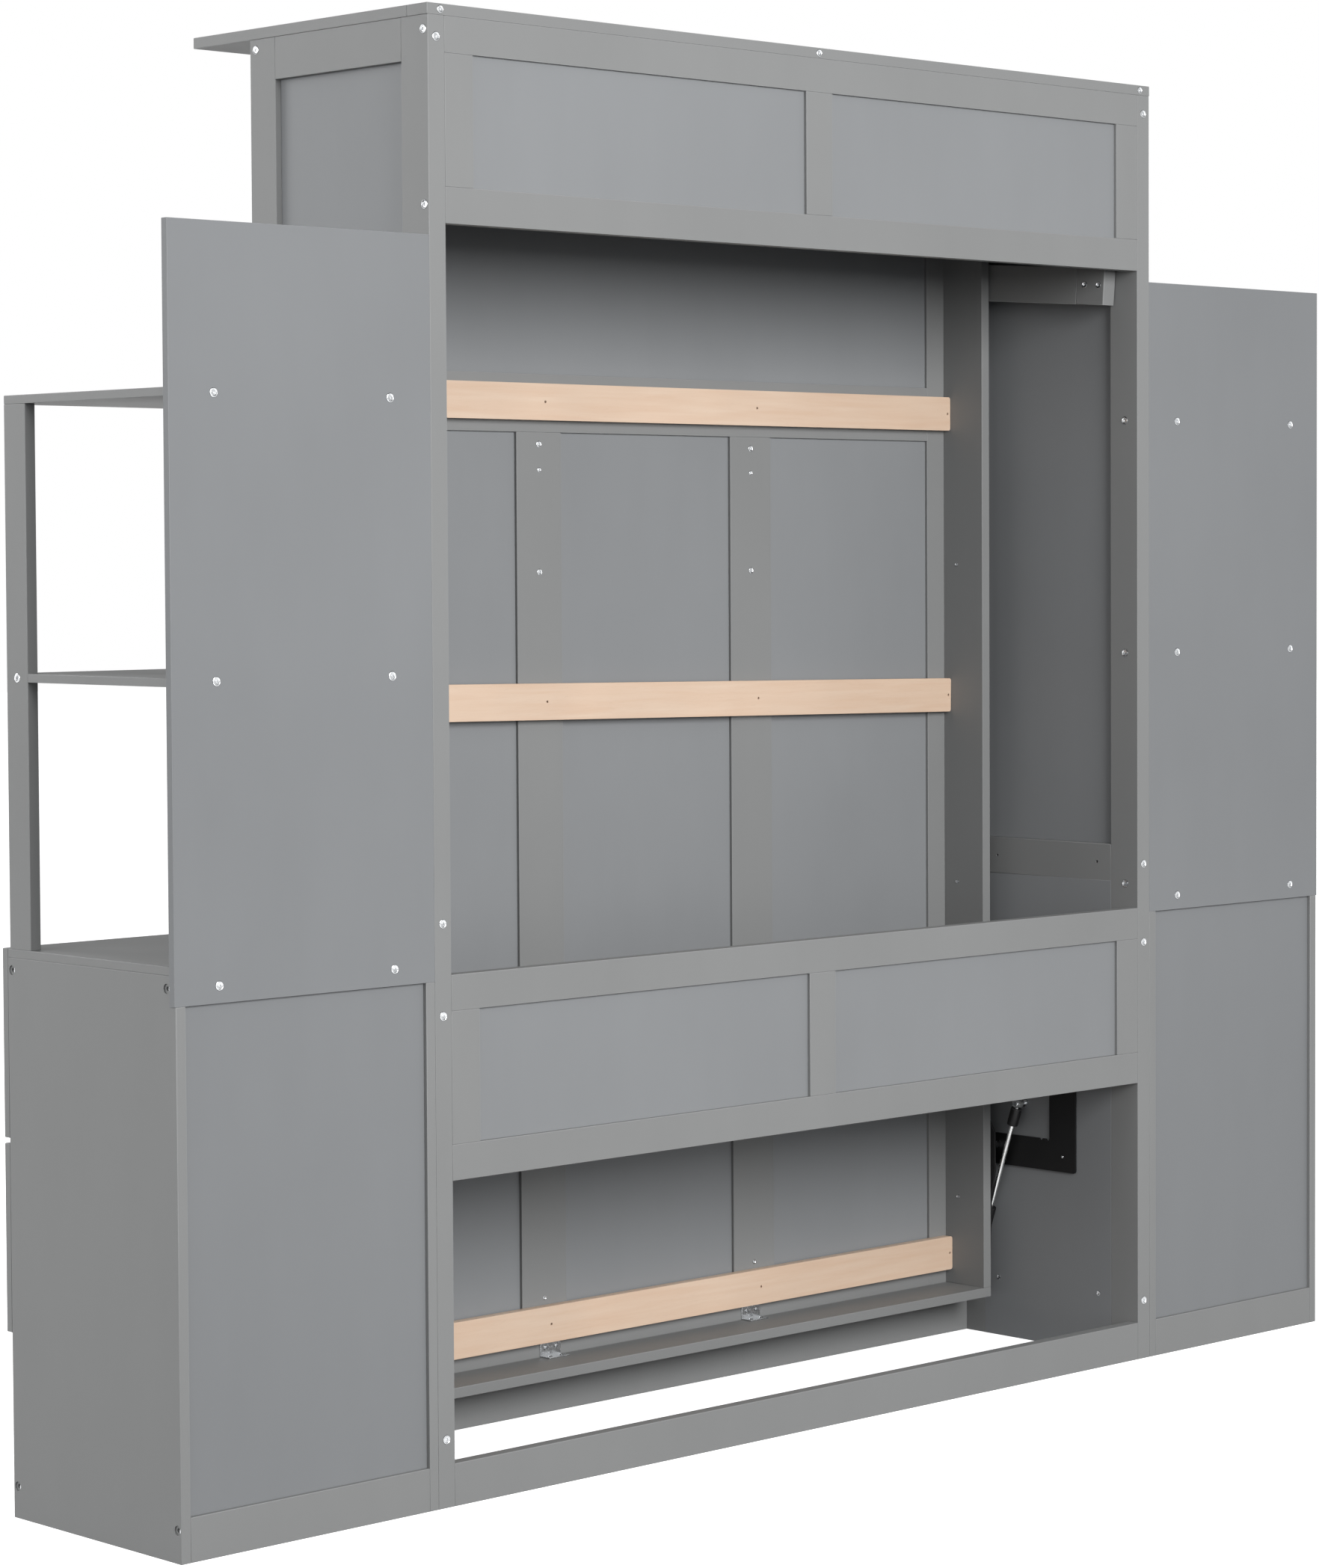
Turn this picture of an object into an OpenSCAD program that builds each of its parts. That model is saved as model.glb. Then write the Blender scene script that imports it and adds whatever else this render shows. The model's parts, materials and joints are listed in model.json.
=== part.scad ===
// Wall bed: a folding bed in a cabinet, between two shelf-and-drawer units.
// +Z is up, the front faces -Y and the floor is z = 0. X = 0 is the middle of the bed.
// Places along the depth are measured from the rear plane, which is y = 0 inside on_rear().

/* [Cabinet] */
// Outer width over the two side frames
cabinet_w = 1540; // [1500:10:1900]
// Height to the top of the top board
cabinet_h = 2100; // [2050:10:2600]
// Depth of the side frames
cabinet_d = 400; // [380:5:480]
// Thickness of a side frame
frame_t = 30; // [24:1:36]
// Thickness of the flat boards
board_t = 16; // [15:1:22]
// How far the top board reaches past the front
canopy = 135; // [40:5:180]
// How far the top board reaches past each side
top_lip = 1; // [0:0.5:5]
// Depth of the strip along the top board's rear edge
top_strip_d = 44; // [30:1:80]
// Width of the side frames' stiles
stile_w = 58; // [45:1:75]
// Height of the side frames' rails
side_rail_h = 61; // [45:1:75]
// Underside of the side frames' middle rails
middle_rail_z = 792; // [770:1:850]
// Thickness of the recessed panels in the side frames
side_panel_t = 10; // [6:1:14]
// Height of the screws low in the side frames' lower panels
panel_screw_z = 99.5; // [70:0.5:200]

/* [Rear frames] */
// Thickness of the two rear frames
back_t = 20; // [16:1:26]
// Height of the rear frames' rails
back_rail_h = 51; // [40:1:70]
// Width of the rear frames' end stiles
back_stile_w = 52; // [40:1:70]
// Width of the rear frames' centre stiles
back_centre_w = 56; // [40:1:80]
// Height of the upper rear frame
upper_back_h = 287; // [200:1:400]
// Underside of the lower rear frame
lower_back_z = 460; // [440:1:520]
// Height of the lower rear frame
lower_back_h = 290; // [200:1:320]
// Thickness of the recessed panels in the rear frames and in the bed's face
thin_panel_t = 8; // [5:1:12]
// Height of the boards along the floor
plinth_h = 61; // [40:1:64]
// Height of the rail above the bed at the front
header_h = 30; // [20:1:60]

/* [Side units] */
// Width of each side unit
unit_w = 445; // [350:5:600]
// Depth of a unit's side panels
carcass_d = 388; // [340:1:450]
// Depth of the shelves above the counter
shelf_d = 382; // [300:1:440]
// Thickness of shelves, counters and shelf backs
shelf_t = 12; // [10:1:18]
// Height of the counter's top
counter_z = 795; // [770:1:900]
// Top of the middle shelf
middle_shelf_z = 1176.5; // [1000:0.5:1300]
// Top of the top shelf
top_shelf_z = 1559; // [1400:1:1700]
// Bottom of the shelf back
shelf_back_low = 742; // [700:1:745]
// Top of the shelf back
shelf_back_top = 1780; // [1600:1:2000]
// How far the shelf back reaches past the outer panel
shelf_back_lip = 2; // [0:0.5:5]
// Width of the posts at the shelves' outer front corners
post_w = 50; // [30:1:70]
// Thickness of the posts
post_t = 17; // [12:1:24]
// Height of the rails under the counter
counter_rail_h = 35; // [20:1:40]
// Thickness of the drawer fronts
front_t = 12; // [10:1:20]
// Height of each drawer front
front_h = 264; // [200:1:270]
// Gap between the drawer fronts
front_gap = 8; // [3:1:12]
// Drawer travel
drawer_travel = 300; // [200:10:320]
// Height of the drawer boxes
drawer_box_h = 190; // [120:1:195]
// Length of the drawer boxes
drawer_box_d = 350; // [250:5:350]
// Thickness of the drawer boxes' sides
drawer_side_t = 12; // [10:1:16]

/* [Bed] */
// Space for the legs and the gas springs between a side rail and the side frame
side_space = 33; // [32:0.5:45]
// Underside of the closed bed
bed_bottom = 72; // [66:1:90]
// Gap between the closed bed and the header
bed_top_gap = 4; // [3:1:20]
// Thickness of the bed's face
face_t = 18; // [15:1:24]
// Thickness of the side rails
rail_t = 18; // [15:1:24]
// How far the side rails stand behind the face
rail_d = 88; // [70:1:110]
// Gap beside the face
face_side_gap = 4; // [2:0.5:6]
// Width of the face's outer stiles
face_stile_w = 88; // [80:1:110]
// Width of the face's two middle stiles
face_middle_w = 92; // [70:1:120]
// Distance of each middle stile's centre line from the middle
face_middle_x = 229; // [180:1:300]
// Height of the face's rails
face_rail_h = 90; // [60:1:120]
// Underside of the face's upper rail
face_upper_z = 1526; // [1300:1:1700]
// Width of a slat
slat_w = 56.5; // [40:0.5:90]
// Thickness of a slat
slat_t = 16; // [12:1:20]
// Centre line of the lowest slat
slat_first_z = 140.5; // [125:0.5:200]
// Distance between slats
slat_pitch = 477.3; // [300:0.1:480]
// Number of slats
slat_count = 4; // [3:1:5]
// Lean of the third slat, which lies a little askew, in degrees
slat_lean = 0.88; // [0:0.01:0.95]
// Distance between the screws of a pull
pull_span = 197.5; // [96:0.5:224]
// Lower screw of the bed's pulls
bed_pull_z = 1310; // [1000:1:1400]
// Distance between the screws of a drawer pull
drawer_pull_span = 128; // [64:1:224]

/* [Movement] */
// Bed pivot, in front of the rear plane
pivot_d = 310; // [300:1:330]
// Bed pivot, above the floor
pivot_z = 329; // [320:1:345]
// Radius of the bed's pivot pins
pivot_r = 8; // [6:0.5:10]
// Leg pivot, in front of the rear plane
leg_pivot_d = 342; // [330:1:350]
// Leg pivot, above the floor, with the bed closed
leg_pivot_z = 1794.3; // [1500:0.1:1950]
// Slope of the folded legs, in degrees
leg_droop = 4.2; // [0:0.1:8]
// Width of a leg
leg_w = 61; // [40:1:64]
// Radius of the legs' pivot pins
leg_pin_r = 6; // [4:0.5:8]
// Length of the block at a leg's foot
leg_foot_l = 59; // [40:1:80]
// Clearance beside a leg
leg_side_gap = 2.5; // [1:0.5:4]
// Upper end of the gas springs, in front of the rear plane
spring_top_d = 249.5; // [240:0.5:265]
// Upper end of the gas springs, above the floor
spring_top_z = 405; // [395:1:420]
// Lower end of the gas springs, in front of the rear plane
spring_low_d = 353.5; // [345:0.5:362]
// Lower end of the gas springs, above the floor
spring_low_z = 99; // [96:1:110]
// Radius of the springs' rods
rod_r = 4; // [3:0.5:5]
// Radius of the springs' cylinders
cylinder_r = 9.5; // [8:0.5:10]
// Length of the springs' cylinders
cylinder_l = 130; // [125:1:135]

/* [Fits] */
// Running clearance between a pin and its hole
running = 0.05; // [0.02:0.01:0.1]
// Clearance between pieces that move past each other
slip = 0.5; // [0.3:0.1:1]
// Radius of a bolt's head
bolt_head_r = 6.5; // [5:0.5:7]
// Radius of a bolt's shank
bolt_r = 3; // [2:0.5:4]

/* [Hidden] */
$fn = 48;
half_w = cabinet_w / 2;
inner_x = half_w - frame_t;
top_z = cabinet_h - board_t;
depth = cabinet_d + canopy;
upper_back_z = top_z - upper_back_h;
header_z = top_z - header_h;

unit_out = half_w + unit_w;
unit_in_x0 = half_w + board_t;
unit_in_x1 = unit_out - board_t;
cleat_t = 6;
cleat_h = 12;
cubby_top_z = counter_z - 2 * front_h - front_gap + 3;
box_lift = 25;
front_zs = [counter_z - 2 * front_h - front_gap, counter_z - front_h];

face_y = -(cabinet_d + 4 - face_t);
rail_y = face_y + rail_d;
bed_half = inner_x - side_space;
bed_inner_w = 2 * (bed_half - rail_t);
bed_top = header_z - bed_top_gap;
face_half = inner_x - face_side_gap;
face_in = face_half - face_stile_w;
middle_in = face_middle_x - face_middle_w / 2;
middle_out = face_middle_x + face_middle_w / 2;
face_low_z = bed_bottom + face_rail_h;
face_high_z = bed_top - face_rail_h;

leg_x0 = bed_half + leg_side_gap;
leg_x1 = inner_x - leg_side_gap;
leg_l = pivot_z + pivot_d - leg_pivot_d;

plate_t = 3;
boss_t = 6;
spring_x = bed_half + side_space / 2 - 1.5;
eye_r = 8;
eye_t = 10;
stud_r = 4;
spring_run = [0, spring_top_d - spring_low_d, spring_low_z - spring_top_z];
spring_l = norm(spring_run);
spring_tilt = atan2(spring_top_d - spring_low_d, spring_top_z - spring_low_z);
rod_l = spring_l - cylinder_l + 10;

head_t = 2;
pocket_gap = 0.2;
shelf_bolt_zs = [top_shelf_z - shelf_t / 2, middle_shelf_z - shelf_t / 2];
rail_bolt_z = counter_z - shelf_t - counter_rail_h / 2;
rear_bolt_zs = [top_z - 30, middle_rail_z + side_rail_h / 2, lower_back_z + lower_back_h - back_rail_h - 6, 97];
inner_bolt_zs = concat(shelf_bolt_zs, [counter_z - shelf_t / 2]);
slat_hole_xs = [face_middle_x, bed_inner_w / 2 - 7];
fixing_span = 223;
fixing_y = -(cabinet_d / 2);
bed_screw_zs = [bed_pull_z + pull_span, bed_pull_z];

paint = "#8f9194";
beech = "#dec8b4";
steel = "#c9cbcd";
black_steel = "#2b2b2d";

// ---- helpers ----

// Puts y = 0 on the rear plane, with the whole depth centred on the origin
module on_rear() {
    translate([0, depth / 2, 0]) children();
}

// A board between two corners
module board(low, high) {
    translate(low) cube(high - low);
}

// The same piece on both sides
module both_sides() {
    children();
    mirror([1, 0, 0]) children();
}

// One side: the right is +X, the left its mirror image
module on_side(side) {
    if (side == "left") mirror([1, 0, 0]) children();
    else children();
}

// A bolt with a flat head and a hexagon socket. The head's top is z = 0 and the shank points down.
module bolt(length, head_r = bolt_head_r, r = bolt_r) {
    difference() {
        translate([0, 0, -head_t]) cylinder(r = head_r, h = head_t);
        translate([0, 0, -1.4]) cylinder(r = head_r * 0.42, h = 3, $fn = 6);
    }
    translate([0, 0, -head_t - length]) cylinder(r = r, h = length);
}

// The pocket and the hole that a bolt sits in
module bolt_hole(length, head_r = bolt_head_r, r = bolt_r) {
    translate([0, 0, -head_t]) cylinder(r = head_r + pocket_gap, h = head_t + 1);
    translate([0, 0, -head_t - length - 0.5]) cylinder(r = r + 0.1, h = length + 1);
}

// Turns a bolt so that its head faces the named way
module facing(way) {
    if (way == "rear") rotate([-90, 0, 0]) children();
    if (way == "out") rotate([0, 90, 0]) children();
    if (way == "in") rotate([0, -90, 0]) children();
}

// ---- bolt places, for the pieces on the +X side; children are drawn at each one ----

module at_rear_stile_bolts() {
    for (z = rear_bolt_zs) translate([half_w - frame_t / 2, 0, z]) facing("rear") children();
}

module at_frame_side_bolts() {
    places = [[-back_t / 2, top_z - 20], [-back_t / 2, upper_back_z + back_rail_h / 2], [-cabinet_d + 13, header_z + header_h / 2]];
    for (p = places) translate([half_w, p[0], p[1]]) facing("out") children();
}

module at_inner_stile_bolts() {
    for (y = [-27, -cabinet_d + 27], z = inner_bolt_zs) translate([inner_x, y, z]) facing("in") children();
}

module at_shelf_back_bolts() {
    xs = [half_w + 72, unit_out - 72];
    for (x = xs, z = concat(shelf_bolt_zs, [rail_bolt_z])) translate([x, 0, z]) facing("rear") children();
}

module at_unit_side_bolts() {
    places = [[-carcass_d + 10, rail_bolt_z], [-20, rail_bolt_z], [-carcass_d + 10, 45], [-board_t / 2, 45]];
    for (p = places) translate([unit_out, p[0], p[1]]) facing("out") children();
}

module at_post_bolt() {
    translate([unit_out, -shelf_d + post_w / 2, shelf_bolt_zs[1]]) facing("out") children();
}

module at_panel_screws() {
    for (y = [-cabinet_d + stile_w + 32, -stile_w - 28]) translate([inner_x, y, panel_screw_z]) facing("in") children();
}

module at_top_strip_bolts() {
    for (x = [-half_w + 23, 0, half_w - 23]) translate([x, 0, top_z + board_t / 2]) facing("rear") children();
}

long_bolt = 45;
frame_bolt = frame_t - head_t;
shelf_bolt = shelf_t - head_t;
side_bolt = board_t - head_t;
post_bolt = post_t - head_t;

// ---- cabinet ----

module top_board() {
    color(paint) on_rear() board([-half_w - top_lip, -depth, top_z], [half_w + top_lip, -top_strip_d, cabinet_h]);
}

module top_back_strip() {
    color(paint) on_rear() difference() {
        board([-half_w - top_lip, -top_strip_d, top_z], [half_w + top_lip, 0, cabinet_h]);
        at_top_strip_bolts() bolt_hole(30, 5.5, bolt_r);
    }
}

module side_stiles() {
    color(paint) on_rear() both_sides() difference() {
        for (y = [-cabinet_d, -stile_w]) board([inner_x, y, 0], [half_w, y + stile_w, top_z]);
        at_rear_stile_bolts() bolt_hole(long_bolt);
        at_frame_side_bolts() bolt_hole(frame_bolt);
        at_inner_stile_bolts() bolt_hole(frame_bolt);
    }
}

module side_rails() {
    color(paint) on_rear() both_sides() difference() {
        for (z = [middle_rail_z, top_z - side_rail_h])
            board([inner_x, -cabinet_d + stile_w, z], [half_w, -stile_w, z + side_rail_h]);
        for (k = [-1, 1])
            translate([inner_x - 1, fixing_y + k * fixing_span / 2, middle_rail_z + side_rail_h / 2])
                rotate([0, 90, 0]) cylinder(r = 2.5, h = frame_t + 2);
    }
}

module side_panels() {
    panel_x = half_w - (frame_t + side_panel_t) / 2;
    color(paint) on_rear() both_sides() difference() {
        union() {
            board([panel_x, -cabinet_d + stile_w, middle_rail_z + side_rail_h], [panel_x + side_panel_t, -stile_w, top_z - side_rail_h]);
            board([inner_x, -cabinet_d + stile_w, 0], [inner_x + board_t, -stile_w, middle_rail_z]);
        }
        at_panel_screws() bolt_hole(10, 4, 1.5);
    }
}

module back_rails() {
    zs = [lower_back_z, lower_back_z + lower_back_h - back_rail_h, upper_back_z, top_z - back_rail_h];
    color(paint) on_rear() for (z = zs) board([-inner_x, -back_t, z], [inner_x, 0, z + back_rail_h]);
}

// The inside heights of the lower and the upper rear frame
back_bays = [
    [lower_back_z + back_rail_h, lower_back_z + lower_back_h - back_rail_h],
    [upper_back_z + back_rail_h, top_z - back_rail_h]
];

module back_stiles() {
    color(paint) on_rear() for (bay = back_bays) {
        board([-back_centre_w / 2, -back_t, bay[0]], [back_centre_w / 2, 0, bay[1]]);
        both_sides() board([inner_x - back_stile_w, -back_t, bay[0]], [inner_x, 0, bay[1]]);
    }
}

module back_panels() {
    color(paint) on_rear() both_sides() for (bay = back_bays)
        board([back_centre_w / 2, -thin_panel_t - 5, bay[0]], [inner_x - back_stile_w, -5, bay[1]]);
}

module rear_floor_rail() {
    color(paint) on_rear() board([-inner_x, -back_t, 0], [inner_x, 0, plinth_h]);
}

module front_rails() {
    color(paint) on_rear() {
        board([-inner_x, -cabinet_d, 0], [inner_x, -cabinet_d + board_t, plinth_h]);
        board([-inner_x, -cabinet_d + 3, header_z], [inner_x, -cabinet_d + 23, top_z]);
    }
}

// ---- side units ----

module unit_side(x) {
    difference() {
        board([x, -carcass_d, 0], [x + board_t, 0, counter_z - shelf_t]);
        board([x - 1, -shelf_t, shelf_back_low], [x + board_t + 1, 1, counter_z]);
    }
}

module unit_outer_panels() {
    color(paint) on_rear() both_sides() difference() {
        unit_side(unit_in_x1);
        at_unit_side_bolts() bolt_hole(side_bolt);
    }
}

module unit_inner_panels() {
    color(paint) on_rear() both_sides() unit_side(half_w);
}

module unit_back_panels() {
    color(paint) on_rear() both_sides() board([unit_in_x0, -15, plinth_h], [unit_in_x1, -6, shelf_back_low]);
}

module unit_rails() {
    low_z = counter_z - shelf_t - counter_rail_h;
    front_y = -carcass_d + 2;
    color(paint) on_rear() both_sides() {
        board([unit_in_x0, front_y, 0], [unit_in_x1, front_y + board_t, plinth_h]);
        board([unit_in_x0, -board_t, 0], [unit_in_x1, 0, plinth_h]);
        board([unit_in_x0, front_y, low_z], [unit_in_x1, front_y + board_t, low_z + counter_rail_h]);
        board([unit_in_x0, -shelf_t - board_t, low_z], [unit_in_x1, -shelf_t, low_z + counter_rail_h]);
    }
}

module unit_floors() {
    color(paint) on_rear() both_sides() {
        board([unit_in_x0, -carcass_d, plinth_h], [unit_in_x1, -15, plinth_h + board_t]);
        board([unit_in_x0, -carcass_d, cubby_top_z], [unit_in_x1, -15, cubby_top_z + shelf_t]);
    }
}

module counters() {
    color(paint) on_rear() both_sides() board([half_w, -carcass_d, counter_z - shelf_t], [unit_out, -shelf_t, counter_z]);
}

module shelf_backs() {
    color(paint) on_rear() both_sides() difference() {
        board([half_w, -shelf_t, shelf_back_low], [unit_out + shelf_back_lip, 0, shelf_back_top]);
        at_shelf_back_bolts() bolt_hole(shelf_bolt);
    }
}

module shelves() {
    color(paint) on_rear() both_sides() {
        board([half_w, -shelf_d, top_shelf_z - shelf_t], [unit_out, -shelf_t, top_shelf_z]);
        difference() {
            board([half_w, -shelf_d, middle_shelf_z - shelf_t], [unit_out, -shelf_t, middle_shelf_z]);
            board([unit_out - post_t, -shelf_d - 1, counter_z], [unit_out + 1, -shelf_d + post_w, top_shelf_z]);
        }
    }
}

module shelf_posts() {
    color(paint) on_rear() both_sides() difference() {
        board([unit_out - post_t, -shelf_d, counter_z], [unit_out, -shelf_d + post_w, top_shelf_z - shelf_t]);
        at_post_bolt() bolt_hole(post_bolt);
    }
}

// Cleats on the side panels, which run in the grooves of the drawer boxes
module drawer_cleats() {
    color(beech) on_rear() both_sides() for (z = front_zs, x = [unit_in_x0, unit_in_x1 - cleat_t]) {
        low = z + box_lift + drawer_box_h / 2 - cleat_h / 2;
        board([x, -carcass_d + 6, low], [x + cleat_t, -carcass_d + drawer_box_d - 10, low + cleat_h]);
    }
}

// ---- drawers ----

front_y = -carcass_d - slip - front_t;

module drawer_front(side, level) {
    color(paint) on_rear() on_side(side)
        board([half_w + 2, front_y, front_zs[level]], [unit_out, front_y + front_t, front_zs[level] + front_h]);
}

module drawer_box(side, level) {
    x0 = unit_in_x0 + 1;
    x1 = unit_in_x1 - 1;
    y0 = front_y + front_t;
    z0 = front_zs[level] + box_lift;
    groove_z = z0 + drawer_box_h / 2 - cleat_h / 2 - slip;
    groove_d = cleat_t;
    color(beech) on_rear() on_side(side) difference() {
        board([x0, y0, z0], [x1, y0 + drawer_box_d, z0 + drawer_box_h]);
        board([x0 + drawer_side_t, y0 + drawer_side_t, z0 + 8],
              [x1 - drawer_side_t, y0 + drawer_box_d - drawer_side_t, z0 + drawer_box_h + 1]);
        board([x0 - 1, y0 + 4, groove_z], [x0 + groove_d, y0 + drawer_box_d + 1, groove_z + cleat_h + 2 * slip]);
        board([x1 - groove_d, y0 + 4, groove_z], [x1 + 1, y0 + drawer_box_d + 1, groove_z + cleat_h + 2 * slip]);
    }
}

// A bar pull: two posts and a bar along X, standing on the plane y = 0 towards -Y
module bar_pull(span) {
    for (x = [-span / 2, span / 2]) translate([x, 0, 0]) rotate([90, 0, 0]) cylinder(r = 4, h = 28);
    translate([-span / 2 - 18, -28, 0]) rotate([0, 90, 0]) cylinder(r = 5, h = span + 36);
}

module drawer_pull(side, level) {
    mid_x = (half_w + 2 + unit_out) / 2;
    color(steel) on_rear() on_side(side) translate([mid_x, front_y, front_zs[level] + front_h / 2]) bar_pull(drawer_pull_span);
}

// ---- bed ----

// The notch in each stile is where a leg swings out through the face
module face_outer_stiles() {
    swing = norm([leg_l, leg_w / 2]) + 2;
    color(paint) on_rear() both_sides() difference() {
        board([face_in, face_y - face_t, bed_bottom], [face_half, face_y, bed_top]);
        board([bed_half + 1, face_y - face_t - 1, leg_pivot_z - swing], [face_half + 1, face_y + 1, leg_pivot_z + leg_w / 2 + 2]);
    }
}

module at_bed_screws() {
    for (z = bed_screw_zs) translate([face_middle_x, face_y, z]) facing("rear") children();
}

module face_middle_stiles() {
    color(paint) on_rear() both_sides() difference() {
        board([middle_in, face_y - face_t, face_low_z], [middle_out, face_y, face_upper_z]);
        at_bed_screws() bolt_hole(face_t - head_t, 5, 2);
        for (z = [face_low_z + 18, bed_pull_z + 158])
            translate([face_middle_x, face_y, z]) facing("rear") bolt_hole(10, 3.5, 1.5);
    }
}

module face_rails() {
    color(paint) on_rear() for (z = [bed_bottom, face_upper_z, face_high_z])
        board([-face_in, face_y - face_t, z], [face_in, face_y, z + face_rail_h]);
}

module face_panels() {
    y0 = face_y - (face_t + thin_panel_t) / 2;
    y1 = y0 + thin_panel_t;
    color(paint) on_rear() {
        board([-face_in, y0, face_upper_z + face_rail_h], [face_in, y1, face_high_z]);
        board([-middle_in, y0, face_low_z], [middle_in, y1, face_upper_z]);
        both_sides() board([middle_out, y0, face_low_z], [face_in, y1, face_upper_z]);
    }
}

module at_rail_screws() {
    for (z = [238, 777.5, 1317, 1856.5]) translate([bed_inner_w / 2, face_y + 29, z]) facing("in") children();
}

module bed_side_rails() {
    color(paint) on_rear() both_sides() difference() {
        board([bed_inner_w / 2, face_y, bed_bottom + board_t], [bed_half, rail_y, bed_top - board_t]);
        at_rail_screws() bolt_hole(10, 3.5, 1.5);
    }
}

module bed_end_boards() {
    color(paint) on_rear() for (z = [bed_bottom, bed_top - board_t])
        board([-bed_half, face_y, z], [bed_half, rail_y, z + board_t]);
}

// A flat strip with round corners, w along X, h along Z and t thick towards +Y
module slat(w, h, t, r) {
    rotate([90, 0, 0]) mirror([0, 0, 1]) linear_extrude(t) union() {
        square([w, h - 2 * r], center = true);
        square([w - 2 * r, h], center = true);
        for (x = [-1, 1], y = [-1, 1]) translate([x * (w / 2 - r), y * (h / 2 - r)]) circle(r);
    }
}

module bed_slats() {
    color(beech) on_rear() for (i = [0 : slat_count - 1])
        translate([0, face_y, slat_first_z + i * slat_pitch + (i == 2 ? 11 : 0)])
            rotate([0, i == 2 ? -slat_lean : 0, 0]) difference() {
                slat(bed_inner_w - 1.5, slat_w, slat_t, 4);
                for (x = slat_hole_xs, k = [-1, 1])
                    translate([k * x, -1, 0]) rotate([-90, 0, 0]) cylinder(r = 2, h = slat_t + 2);
            }
}

bracket_w = 42;
bracket_leg = 23;
bracket_t = 2;
bracket_x = 219;

module at_bracket_screws() {
    for (k = [-1, 1]) {
        translate([bracket_x + k * 11, face_y + bracket_t, bed_bottom + board_t + 14]) facing("rear") children();
        translate([bracket_x + k * 11, face_y + 14, bed_bottom + board_t + bracket_t]) children();
    }
}

module corner_brackets() {
    z = bed_bottom + board_t;
    color(steel) on_rear() both_sides() difference() {
        union() {
            board([bracket_x - bracket_w / 2, face_y, z], [bracket_x + bracket_w / 2, face_y + bracket_t, z + bracket_leg]);
            board([bracket_x - bracket_w / 2, face_y, z], [bracket_x + bracket_w / 2, face_y + bracket_leg, z + bracket_t]);
        }
        at_bracket_screws() translate([0, 0, -5]) cylinder(r = 1.8, h = 8);
    }
}

module bed_pulls() {
    color(steel) on_rear() both_sides()
        translate([face_middle_x, face_y - face_t, bed_pull_z + pull_span / 2]) rotate([0, 90, 0]) bar_pull(pull_span);
}

// A steel plate on the side rail with a boss for the pivot pin and one at the spring's lower end
module bed_pivot_plates() {
    y0 = face_y + 3;
    y1 = rail_y - 3;
    outline = [
        [y0, spring_low_z - 8], [-spring_low_d + 14, spring_low_z - 8], [y1, spring_low_z + 40],
        [rail_y, pivot_z - 94], [rail_y + 9, pivot_z - 40], [rail_y + 9, pivot_z + 24], [y1, pivot_z + 44], [y0, pivot_z + 44]
    ];
    color(black_steel) on_rear() both_sides() difference() {
        translate([bed_half, 0, 0]) union() {
            rotate([90, 0, 90]) linear_extrude(plate_t) polygon(outline);
            translate([0, -pivot_d, pivot_z]) rotate([0, 90, 0]) cylinder(r = 14, h = plate_t + boss_t);
            translate([0, -spring_low_d, spring_low_z]) rotate([0, 90, 0]) cylinder(r = 8, h = plate_t + 1.5);
        }
        translate([bed_half - 1, -pivot_d, pivot_z]) rotate([0, 90, 0]) cylinder(r = pivot_r + running, h = plate_t + boss_t + 2);
    }
}

module leg_pivot_pins() {
    color(steel) on_rear() both_sides() translate([bed_half, -leg_pivot_d, leg_pivot_z])
        rotate([0, 90, 0]) cylinder(r = leg_pin_r, h = leg_x1 - bed_half + 1);
}

module bed_screws() {
    color(steel) on_rear() both_sides() {
        at_bed_screws() bolt(face_t - head_t, 5, 2);
        for (z = [face_low_z + 18, bed_pull_z + 158])
            translate([face_middle_x, face_y, z]) facing("rear") bolt(10, 3.5, 1.5);
        at_rail_screws() bolt(10, 3.5, 1.5);
        at_bracket_screws() cylinder(r = 3.2, h = 1.2);
    }
}

// ---- legs ----

// Legs are drawn from their pivot along +Y, then leaned and moved to their place on the side rail
module on_leg(side) {
    on_rear() on_side(side) translate([0, -leg_pivot_d, leg_pivot_z]) rotate([-leg_droop, 0, 0]) children();
}

module leg(side) {
    color(paint) on_leg(side) difference() {
        union() {
            board([leg_x0, 0, -leg_w / 2], [leg_x1, leg_l - leg_foot_l, leg_w / 2]);
            translate([leg_x0, 0, 0]) rotate([0, 90, 0]) cylinder(r = leg_w / 2, h = leg_x1 - leg_x0);
        }
        translate([leg_x0 - 1, 0, 0]) rotate([0, 90, 0]) cylinder(r = leg_pin_r + running, h = leg_x1 - leg_x0 + 2);
    }
}

module at_leg_bolts() {
    for (y = [-12, -42]) translate([leg_x0, leg_l + y, 2]) facing("in") children();
}

module leg_foot(side) {
    color(paint) on_leg(side) difference() {
        board([leg_x0, leg_l - leg_foot_l, -leg_w / 2], [leg_x1, leg_l, leg_w / 2]);
        at_leg_bolts() bolt_hole(20, 5.5, bolt_r);
    }
}

module leg_bolts(side) {
    color(steel) on_leg(side) at_leg_bolts() bolt(20, 5.5, bolt_r);
}

// ---- mechanism ----

window = [[-330, 348], [-192, 560]];

module at_plate_screws() {
    for (p = [[-163, 321], [-163, 588], [-355, 588], [-355, 321]])
        translate([inner_x - plate_t, p[0], p[1]]) facing("in") children();
}

// A flat shape with round corners, from one corner to the opposite one
module round_corners(a, b, r) {
    translate([a[0] + r, a[1]]) square([b[0] - a[0] - 2 * r, b[1] - a[1]]);
    translate([a[0], a[1] + r]) square([b[0] - a[0], b[1] - a[1] - 2 * r]);
    for (x = [a[0] + r, b[0] - r], y = [a[1] + r, b[1] - r]) translate([x, y]) circle(r);
}

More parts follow.
